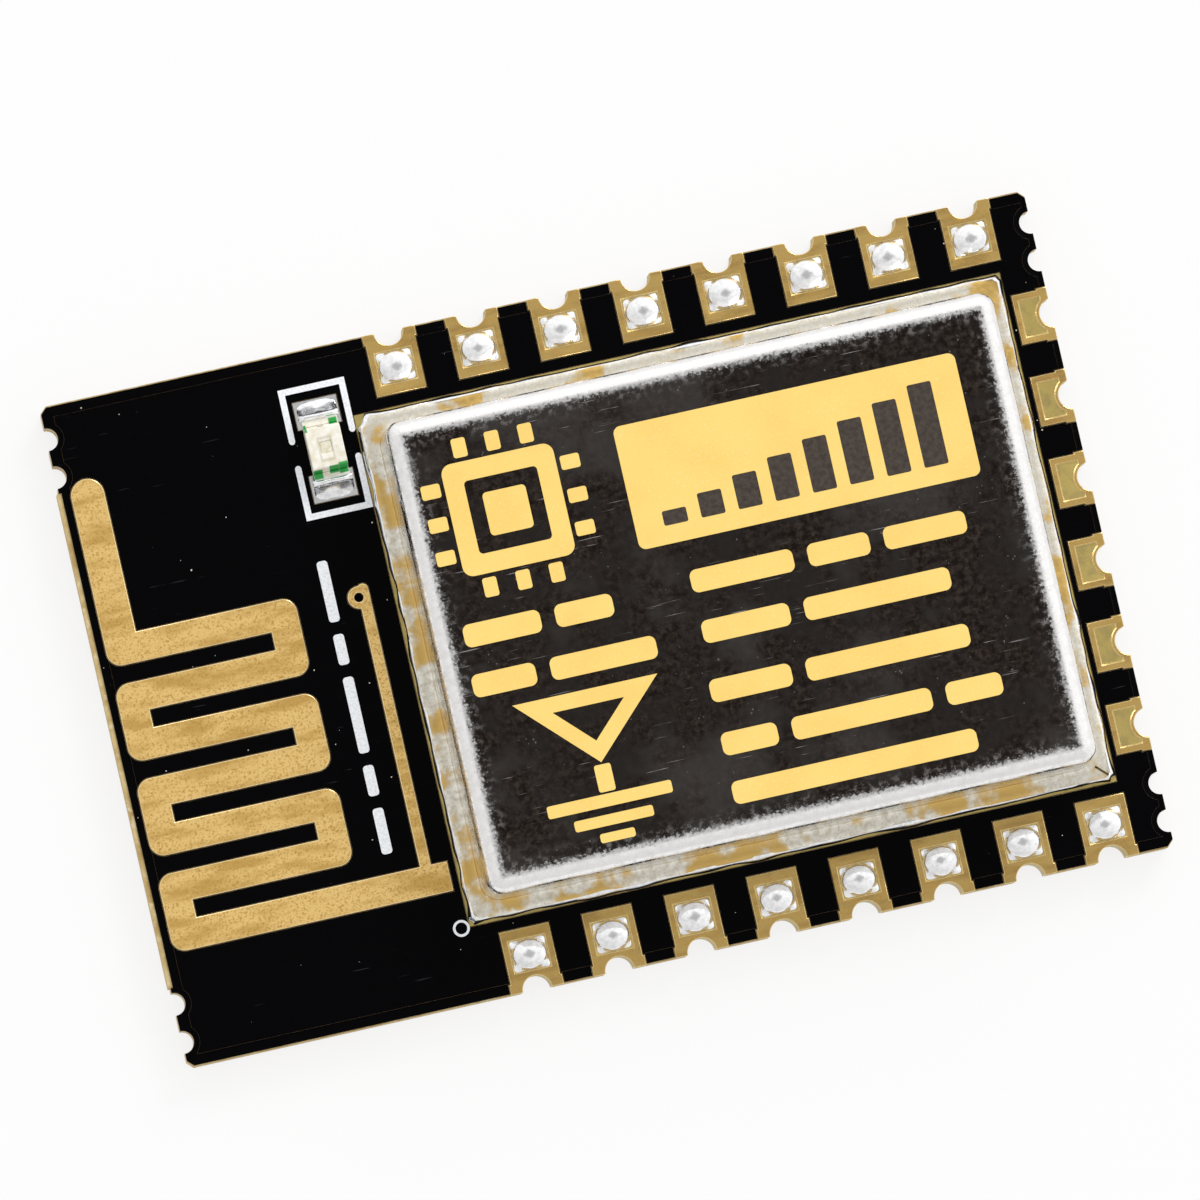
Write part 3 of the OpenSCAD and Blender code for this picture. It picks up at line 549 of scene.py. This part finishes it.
def make_shield_can():
    """One sheet carried round the can: lid, quarter-round rim, leaning wall, foot bend and flange, then
    back along the inner side. Every level is a rounded rectangle at its own inset."""
    top = can_high[2]
    foot = land_z + SHEET
    rows = []
    for inset in np.linspace(LID_MIDDLE, FLANGE + DRAFT + RIM_RADIUS + 0.15 * MM, 6):
        rows.append(can_ring(inset, top, [LEAST_LEG] * 4, 1))
    for angle in np.linspace(0, np.pi / 2, 10):
        inset = FLANGE + DRAFT + RIM_RADIUS * (1 - math.sin(angle))
        leg = max(RIM_RADIUS * math.sin(angle), LEAST_LEG)
        rows.append(can_ring(inset, top - RIM_RADIUS * (1 - math.cos(angle)), [leg] * 4, 1))
    for share in np.linspace(0.1, 1, 6):
        leg = RIM_RADIUS + share * (WALL_CORNER - RIM_RADIUS)
        level = top - RIM_RADIUS + share * (foot + 0.05 * MM - top + RIM_RADIUS)
        rows.append(can_ring(FLANGE + DRAFT * (1 - share), level, [leg] * 4, 1))
    flange_legs = np.array([FLANGE_NICK, FLANGE_BEVEL, FLANGE_NICK, FLANGE_NICK])
    rows.append(can_ring(FLANGE - 0.015 * MM, foot + 0.012 * MM, [WALL_CORNER] * 4, 1))
    rows.append(can_ring(FLANGE - 0.05 * MM, foot, [0.35 * MM] * 4, 0.9))
    rows.append(can_ring(0.14 * MM, foot, flange_legs * 0.8, 0.2))
    rows.append(can_ring(0.03 * MM, foot, flange_legs, 0))
    rows.append(can_ring(0.005 * MM, foot - 0.01 * MM, flange_legs, 0))
    rows.append(can_ring(0, foot - 0.03 * MM, flange_legs, 0))
    rows.append(can_ring(0, land_z, flange_legs, 0))
    inner = FLANGE + SHEET
    rows.append(can_ring(inner, land_z, [WALL_CORNER - SHEET] * 4, 1))
    rows.append(can_ring(inner + DRAFT, top - RIM_RADIUS, [RIM_RADIUS - SHEET] * 4, 1))
    for angle in np.linspace(np.pi / 3, 0, 3):
        inset = inner + DRAFT + (RIM_RADIUS - SHEET) * (1 - math.sin(angle))
        leg = max((RIM_RADIUS - SHEET) * math.sin(angle), LEAST_LEG)
        level = top - SHEET - (RIM_RADIUS - SHEET) * (1 - math.cos(angle))
        rows.append(can_ring(inset, level, [leg] * 4, 1))
    shell = Shell()
    shell.rings(np.array(rows))
    finish_piece("shield_can_sheet", shell.mesh("shield_can_sheet"), tinned_sheet,
                 ["shield_can"], 50)


def make_can_solder():
    """The solder line round the flange: a bead carried round the can, its width and height wandering,
    swollen to a blob at three corners."""
    steps = np.linspace(0, 1, 9)
    side_steps = 90
    legs = [FLANGE_NICK, FLANGE_BEVEL, FLANGE_NICK, FLANGE_NICK]
    edge = box_ring(can_mid, can_half, 0, legs, 0.2, steps, side_steps)
    wide_legs = [leg + 0.05 * MM for leg in legs]
    outer = box_ring(can_mid, can_half, -0.1 * MM, wide_legs, 0.6, steps, side_steps)
    out = outer - edge
    count = len(edge)
    width = 0.75 + ripple(count, (9, 70), 0.35, 3) + ripple(count, (2, 9), 0.15, 4)
    height = 0.17 * MM * (0.95 + ripple(count, (11, 60), 0.3, 5))
    nearest = [can_mid + np.array(s) * (can_half - 0.05 * MM) for s in ((-1, -1), (1, -1), (1, 1))]
    gaps = np.min([np.linalg.norm(edge - corner, axis=1) for corner in nearest], axis=0)
    swell = np.exp(-((gaps / (0.3 * MM)) ** 2))
    height += swell * 0.1 * MM
    width += swell * 0.25
    section = (
        (-0.35, 0.0), (1.0, 0.0), (1.0, 0.25), (0.75, 0.62), (0.35, 0.9), (-0.05, 1.12), (-0.35, 1.12),
    )
    rows = [
        np.concatenate([edge + (across * width)[:, None] * out, (land_z + up * height)[:, None]], 1)
        for across, up in section
    ]
    shell = Shell()
    shell.add(np.array(rows), grid_faces(len(rows), count, close_rows=True, close_cols=True))
    finish_piece("can_solder_bead", shell.mesh("can_solder_bead"), solder, ["can_solder"], 60)


# ---------------------------------------------------------------- solder pillows on the side contacts
def pillow(mid, half, base, height, chance):
    """A ball of solder that has wetted a square window. Its outline is a circle drawn out to a point at
    each corner; its height is that of a flattened ball, sqrt(1 - r^2), over a thin film."""
    angles = np.linspace(0, 2 * np.pi, 64, endpoint=False)
    corner = np.abs(np.sin(2 * angles)) ** 9
    wander = 1 + ripple(len(angles), (2, 7), 0.025, int(chance.integers(1 << 30)))
    reach = wander * (1 + 0.30 * corner * chance.uniform(0.75, 1.0))
    direction = np.stack([np.cos(angles), np.sin(angles)], -1)
    drift = chance.uniform(-0.05, 0.05, 2)
    ball = 0.97
    rise = height * (1 + chance.uniform(-0.1, 0.1))
    film = 0.045 * MM
    rows = []
    for share in (0.05, 0.14, 0.25, 0.37, 0.49, 0.6, 0.7, 0.79, 0.87, 0.93, 0.97, 1.0):
        radius = share * reach
        spread = direction * radius[:, None] + drift * (1 - share**2)
        cap = rise * np.sqrt(np.clip(1 - (radius / ball) ** 2, 0, 1))
        lobe = 1 + 0.10 * np.cos(4 * angles) * share**2 * (1 - share)
        level = base + np.sqrt((cap * lobe) ** 2 + (film * (1 - share**4)) ** 2)
        rows.append(np.concatenate([mid + spread * half, level[:, None]], 1))
    return np.array(rows)


DOME_GAP = 0.025 * MM


def make_solder_pillows(side, seed):
    node = "solder_domes_" + side
    low, high = corners(node)
    count = 8
    width = 0.84 * MM
    pitch = (high[0] - low[0] - width) / (count - 1)
    half = np.array([width / 2 + DOME_GAP, (high[1] - low[1]) / 2 + DOME_GAP])
    chance = np.random.default_rng(seed)
    shell = Shell()
    for i in range(count):
        mid = np.array([low[0] + width / 2 + i * pitch, (low[1] + high[1]) / 2])
        shell.rings(pillow(mid, half, low[2], high[2] - low[2], chance))
    name = "solder_pillows_" + side
    finish_piece(name, shell.mesh(name), solder, [node], 60)


# ---------------------------------------------------------------- lamp
LAMP_GREEN = (0.02, 0.36, 0.06)


def lamp_finish(name, mid, silver_from=None):
    """Cream moulding with a faint window and green marks at both ends; plated silver past silver_from,
    the distance in millimetres from the lamp's middle."""
    cream = Finish(name, Roughness=0.32)
    glow = cream.noise(6, 4)
    x = cream.math("SUBTRACT", cream.axis("X"), mid[0] / MM)
    y = cream.math("SUBTRACT", cream.axis("Y"), mid[1] / MM)

    def inside(value, low, high):
        return cream.math("MULTIPLY", cream.span(value, low - 0.015, low + 0.015),
                          cream.span(value, high + 0.015, high - 0.015))

    def patch(x_low, x_high, y_low, y_high):
        return cream.math("MULTIPLY", inside(x, x_low, x_high), inside(y, y_low, y_high))

    body = cream.blend(cream.span(glow, 0.35, 0.7), (0.93, 0.91, 0.83), (0.80, 0.74, 0.58))
    window = patch(-0.14, 0.12, -0.27, 0.19)
    frame_mark = cream.math("SUBTRACT", patch(-0.19, 0.17, -0.34, 0.26), window)
    body = cream.blend(cream.math("MULTIPLY", frame_mark, 0.5), body, (0.50, 0.44, 0.30))
    body = cream.blend(patch(-0.1, 0.05, 0.5, 0.53), body, (0.25, 0.2, 0.12))
    marks = ((-0.42, -0.36, 0.42, 0.62), (0.2, 0.4, 0.52, 0.68), (-0.42, -0.2, -0.74, -0.5),
             (-0.03, 0.2, -0.62, -0.46), (0.2, 0.42, -0.66, -0.42))
    for mark in marks:
        body = cream.blend(patch(*mark), body, LAMP_GREEN)
    cream.set("Base Color", body)
    if silver_from:
        silver = cream.span(cream.math("ABSOLUTE", y), silver_from - 0.02, silver_from + 0.02)
        cream.set("Base Color", cream.blend(silver, body, (0.93, 0.93, 0.93)))
        cream.set("Metallic", silver)
    cream.bump(glow, 0.008 * MM)
    return cream.material


def slab(top, floor_level):
    """A closed slab under a grid of points: the grid, its walls and a flat floor."""
    floor = top.copy()
    floor[..., 2] = floor_level
    rows, cols = top.shape[:2]
    quads = grid_faces(rows, cols)
    rim = np.concatenate([
        np.arange(cols), np.arange(1, rows) * cols + cols - 1,
        (rows - 1) * cols + np.arange(cols - 2, -1, -1), np.arange(rows - 2, 0, -1) * cols,
    ])
    under = rim + rows * cols
    walls = np.stack([rim, np.roll(rim, -1), np.roll(under, -1), under], -1)
    points = np.concatenate([top.reshape(-1, 3), floor.reshape(-1, 3)])
    return points, np.concatenate([quads, quads[:, ::-1] + rows * cols, walls])


def make_lamp():
    """A chip lamp: base and ends rounded over, a soft-edged lens, and over each end a cap of solder whose
    section is a hollow curve up from the land and a round crown over the plated end."""
    low, high = corners("led_solder")
    mid = ((low + high) / 2)[:2]
    base = lamp_finish("lamp_base", mid)
    soften("led_base", 0.02 * MM, base)
    soften("led_terminals", 0.03 * MM, lamp_finish("lamp_ends", mid, 0.7), segments=3)
    die = plain_finish("lamp_die", (0.90, 0.87, 0.74), (0.7, 0.64, 0.46), 0.3)
    soften("led_die", 0.02 * MM, die)
    soften("led_lens", 0.035 * MM, lamp_finish("lamp_lens", mid), segments=3)

    half_x = (high[0] - low[0]) / 2 + 0.05 * MM
    crown = corners("led_terminals")[1][2] - low[2]
    inner = 0.72 * MM
    end = 0.8 * MM
    across = np.linspace(-1, 1, 29)[None, :]
    along = np.linspace(0, 1, 26)[:, None]
    shell = Shell()
    for side in (-1, 1):
        tip = (high[1] - mid[1]) * (1 - 0.10 * across**4)
        y = inner + (tip - inner) * along
        over = np.clip((y - inner) / (end + 0.05 * MM - inner), 0, 1)
        down = np.clip((y - end - 0.05 * MM) / (tip - end - 0.05 * MM), 0, 1)
        bulge = 0.06 * MM * np.sqrt(np.clip(1 - (2 * over - 1) ** 2, 0, 1)) * (1 - across**4)
        hollow = crown * (1 - down) ** 1.7 * (1 - 0.10 * across**4) + 0.02 * MM * np.sin(np.pi * down)
        dimples = 0.012 * MM * np.sin(5 * across + side) * np.sin(7 * along + side)
        z = low[2] + np.where(down > 0, hollow, crown + bulge) + dimples * (1 - across**2) + 0.006 * MM
        x = mid[0] + half_x * across * (1 - 0.08 * (1 - down) * (1 - across**2))
        top = np.stack([x, mid[1] + side * y, z], -1)
        shell.add(*slab(top, low[2]))
    finish_piece("lamp_solder_caps", shell.mesh("lamp_solder_caps"), solder, ["led_solder"], 70)


# ---------------------------------------------------------------- print
def make_board_print():
    """The broken white frame round the lamp and the small ring, with round line ends."""
    low, high = corners("silkscreen")
    lamp_low, lamp_high = corners("led_base")
    mid = (lamp_low + lamp_high)[:2] / 2
    line = 0.15 * MM
    half_l = high[1] - mid[1] - line / 2
    half_w = 0.73 * MM
    gap = 0.33 * MM
    shell = Shell()
    for side in (-1, 1):
        path = mid + np.array([(-half_w, side * gap), (-half_w, side * half_l), (half_w, side * half_l),
                               (half_w, side * gap)])
        shell.plate(stroke(path, line), low[2], high[2])
    ring_mid = np.array([can_low[0] - 0.3 * MM, can_low[1] - 0.1 * MM])
    shell.hoop(circle(ring_mid, 0.2 * MM), circle(ring_mid, 0.14 * MM), low[2], high[2])
    finish_piece("board_print_lines", shell.mesh("board_print_lines"), board_print,
                 ["silkscreen"])


def word_row(start, end, words, gap):
    """Lengths of a row of plain bars: the words share the row in their proportions, gap apart."""
    room = end - start - gap * (len(words) - 1)
    lengths = np.array(words) / sum(words) * room
    starts = start + np.concatenate([[0], np.cumsum(lengths + gap)[:-1]])
    return list(zip(starts, starts + lengths))


def add_bars(shell, start, end, level, height, words, low, high):
    for first, last in word_row(start, end, words, 0.35 * MM):
        mid = ((first + last) / 2, level)
        half = np.array([(last - first) / 2, height / 2])
        shell.plate(round_box(mid, half, height * 0.3), low, high)


PRINT = 0.006 * MM
FIELD_LOW = (1.0, 1.46)
FIELD_HIGH = (9.27, 4.43)
CHIP_MID = (-1.82, 3.07)
BAR_HEIGHT = 0.55
RIGHT_ROWS = (
    (0.47, 2.0, 8.66, (5, 3, 4)), (-0.75, 2.0, 8.0, (3, 5)), (-2.15, 1.87, 8.14, (3, 6)),
    (-3.43, 1.86, 8.64, (2, 5, 2)), (-4.6, 1.85, 7.77, (7,)),
)
LEFT_ROWS = ((0.37, -3.5, 0.1, (4, 3)), (-0.82, -3.56, 0.88, (3, 5)))


def make_lid_marks():
    """Plain marks on the lid: a circuit sign, an aerial sign, rows of bars where a rating text would
    stand, and a filled field with rising bars let into it."""
    low = can_high[2] - 0.001 * MM
    high = can_high[2] + PRINT
    shell = Shell()

    chip = np.array(CHIP_MID) * MM
    shell.hoop(round_box(chip, np.array([1.35, 1.35]) * MM, 0.25 * MM),
               round_box(chip, np.array([0.88, 0.88]) * MM, 0.1 * MM), low, high)
    shell.plate(round_box(chip, np.array([0.52, 0.52]) * MM, 0.1 * MM), low, high)
    for k in (-1, 0, 1):
        for side in (-1, 1):
            for across in (np.array([1, 0]), np.array([0, 1])):
                mid = chip + (side * 1.68 * across + k * 0.8 * across[::-1]) * MM
                half = (0.23 * across + 0.17 * across[::-1]) * MM
                shell.plate(round_box(mid, half, 0.06 * MM), low, high)

    field_low, field_high = np.array(FIELD_LOW) * MM, np.array(FIELD_HIGH) * MM
    field = (field_low + field_high) / 2
    shell.plate(round_box(field, (field_high - field_low) / 2, 0.18 * MM, 9), low, high)

    for level, start, end, words in RIGHT_ROWS + LEFT_ROWS:
        add_bars(shell, start * MM, end * MM, level * MM, BAR_HEIGHT * MM, words, low, high)

    aerial = np.array([-1.0, -1.45]) * MM
    outer = aerial + np.array([(-1.75, 0), (1.75, 0), (0, -1.75)]) * MM
    inner = aerial + np.array([(-0.86, -0.37), (0.86, -0.37), (0, -1.23)]) * MM
    shell.hoop(outer[::-1], inner[::-1], low, high)
    for half, top, bottom in ((0.2, 1.8, 2.45), (1.5, 2.5, 2.8), (0.95, 2.98, 3.24), (0.42, 3.4, 3.62)):
        mid = aerial - np.array([0, (top + bottom) / 2]) * MM
        shell.plate(round_box(mid, np.array([half, (bottom - top) / 2]) * MM, 0.06 * MM), low, high)
    finish_piece("lid_marks", shell.mesh("lid_marks"), lid_print, [])

    bars = Shell()
    for k in range(8):
        height = 0.35 + 0.235 * k
        mid = field + np.array([-3.15 + 0.9 * k, -1.05 + height / 2]) * MM
        outline = round_box(mid, np.array([0.29, height / 2]) * MM, 0.05 * MM)
        bars.plate(outline, high - 0.001 * MM, high + 0.002 * MM)
    finish_piece("field_bars", bars.mesh("field_bars"), field_dark, [])


def make_board_marks():
    """Plain white bars beside the grounding trace, where a name would stand."""
    level = corners("silkscreen")
    mid_x = -6.25 * MM
    shell = Shell()
    for first, last in word_row(-4.1 * MM, 3.0 * MM, (3, 2, 5, 2, 4), 0.3 * MM):
        half = np.array([0.13 * MM, (last - first) / 2])
        shell.plate(round_box((mid_x, (first + last) / 2), half, 0.08 * MM), level[0][2], level[1][2])
    finish_piece("board_marks", shell.mesh("board_marks"), board_print, [])


# ---------------------------------------------------------------- pieces
make_shield_can()
make_can_solder()
make_solder_pillows("north", 11)
make_solder_pillows("south", 12)
make_lamp()
make_board_print()
make_lid_marks()
make_board_marks()
# The gold contacts and antenna get rounded edges that carry a painted highlight finish.
for row, count in (("n", 8), ("s", 8), ("e", 6)):
    for i in range(1, count + 1):
        soften(f"contact_{row}{i}", 0.022 * MM, gold, contact_edge_highlight)
soften("antenna_trace", 0.03 * MM, antenna_gold, antenna_edge_highlight)
soften("top_mask", 0.012 * MM, lacquer, thin_lacquer)
soften("bottom_mask", 0.01 * MM, lacquer)


# ---------------------------------------------------------------- nodes that stay as they are
def dress(node, material):
    """Gives a CAD node that is shown as it is its finish."""
    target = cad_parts[node]
    if not target.material_slots:
        target.data.materials.append(material)
    for place in target.material_slots:
        place.material = material


dress("board_core", laminate)
dress("ground_ring", gold)
dress("component_lands", solder)
moulding = plain_finish("chip_body", (0.020, 0.020, 0.022), (0.012, 0.012, 0.013), 0.55, per_mm=14)
lead = plain_finish("plated_lead", (0.80, 0.80, 0.80), (0.66, 0.66, 0.67), 0.3, metallic=1.0)
dress("radio_chip", moulding)
dress("radio_chip_pads", lead)
dress("flash_body", moulding)
dress("flash_leads", lead)
dress("crystal_base", plain_finish("crystal_base", (0.16, 0.14, 0.12), (0.10, 0.09, 0.08), 0.5))
dress("crystal_lid", lead)
for kind, light, dark, rough in (
    ("capacitor", (0.42, 0.28, 0.16), (0.34, 0.22, 0.12), 0.5),
    ("resistor", (0.03, 0.03, 0.03), (0.02, 0.02, 0.02), 0.4),
    ("inductor", (0.50, 0.53, 0.56), (0.38, 0.40, 0.43), 0.45),
):
    dress(kind + "_bodies", plain_finish(kind + "_body", light, dark, rough))
for node in ("capacitor_ends", "resistor_ends", "inductor_ends"):
    dress(node, solder)


# ---------------------------------------------------------------- stage and light
def make_floor():
    """A wide pale floor that shows white to the eye and in reflections and keeps the module's shadow."""
    mesh = bpy.data.meshes.new("floor")
    half = 2.0
    outline = [(-half, -half, 0), (half, -half, 0), (half, half, 0), (-half, half, 0)]
    mesh.from_pydata(outline, [], [(0, 1, 2, 3)])
    floor = bpy.data.objects.new("floor", mesh)
    bpy.context.scene.collection.objects.link(floor)
    pale = bpy.data.materials.new("floor")
    pale.use_nodes = True
    tree = pale.node_tree
    tree.nodes.clear()
    cloth = tree.nodes.new("ShaderNodeBsdfDiffuse")
    cloth.inputs["Color"].default_value = (0.84, 0.84, 0.84, 1)
    white = tree.nodes.new("ShaderNodeEmission")
    seen = tree.nodes.new("ShaderNodeLightPath")
    either = tree.nodes.new("ShaderNodeMath")
    either.operation = "MAXIMUM"
    any_view = tree.nodes.new("ShaderNodeMath")
    any_view.operation = "MAXIMUM"
    share = tree.nodes.new("ShaderNodeMath")
    share.operation = "MULTIPLY"
    share.inputs[1].default_value = 0.8
    mix = tree.nodes.new("ShaderNodeMixShader")
    out = tree.nodes.new("ShaderNodeOutputMaterial")
    tree.links.new(seen.outputs["Is Camera Ray"], either.inputs[0])
    tree.links.new(seen.outputs["Is Glossy Ray"], either.inputs[1])
    tree.links.new(either.outputs[0], any_view.inputs[0])
    tree.links.new(seen.outputs["Is Transmission Ray"], any_view.inputs[1])
    tree.links.new(any_view.outputs[0], share.inputs[0])
    tree.links.new(share.outputs[0], mix.inputs[0])
    tree.links.new(cloth.outputs[0], mix.inputs[1])
    tree.links.new(white.outputs[0], mix.inputs[2])
    tree.links.new(mix.outputs[0], out.inputs["Surface"])
    mesh.materials.append(pale)


KEY_AZIMUTH = 50
DIM_INSIDE = math.cos(math.radians(9))
DIM_OUTSIDE = math.cos(math.radians(22))


def make_world():
    """Bright all round and a little brighter on the key lamp's side, with a small dim patch overhead, as
    under a dark flag hung over the table."""
    world = bpy.data.worlds.new("studio")
    bpy.context.scene.world = world
    world.use_nodes = True
    tree = world.node_tree
    background = tree.nodes["Background"]
    background.inputs["Color"].default_value = (1, 1, 1, 1)
    sky = tree.nodes.new("ShaderNodeTexCoord")
    product = tree.nodes.new("ShaderNodeMath")
    product.operation = "MULTIPLY"
    overhead = view_turn().inverted() @ Vector((0, 0, 1))
    mirrored = Vector((-overhead.x, -overhead.y, overhead.z))
    patch = (DIM_INSIDE, DIM_OUTSIDE, 0.5, 1.0)
    side = (-0.9, 0.9, 0.78, 1.14)
    turn = math.radians(KEY_AZIMUTH)
    key_side = Vector((math.cos(turn), math.sin(turn), 0))
    for k, (toward, limits) in enumerate(((mirrored, patch), (key_side, side))):
        dot = tree.nodes.new("ShaderNodeVectorMath")
        dot.operation = "DOT_PRODUCT"
        dot.inputs[1].default_value = toward.normalized()
        ramp = tree.nodes.new("ShaderNodeMapRange")
        ramp.interpolation_type = "SMOOTHSTEP"
        for socket, number in zip(RANGE_SOCKETS, limits):
            ramp.inputs[socket].default_value = number
        tree.links.new(sky.outputs["Generated"], dot.inputs[0])
        tree.links.new(dot.outputs["Value"], ramp.inputs["Value"])
        tree.links.new(ramp.outputs["Result"], product.inputs[k])
    tree.links.new(product.outputs[0], background.inputs["Strength"])


def add_lamp(name, azimuth, elevation, distance, size, power):
    """A soft square lamp that faces the module."""
    data = bpy.data.lights.new(name, "AREA")
    data.shape = "SQUARE"
    data.size = size
    data.energy = power
    lamp = bpy.data.objects.new(name, data)
    a, e = math.radians(azimuth), math.radians(elevation)
    toward = Vector((math.cos(a) * math.cos(e), math.sin(a) * math.cos(e), math.sin(e)))
    lamp.location = toward * distance
    lamp.rotation_euler = toward.to_track_quat("Z", "Y").to_euler()
    bpy.context.scene.collection.objects.link(lamp)


make_floor()
make_world()
add_lamp("key", KEY_AZIMUTH, 30, 0.5, 0.2, 1.0)
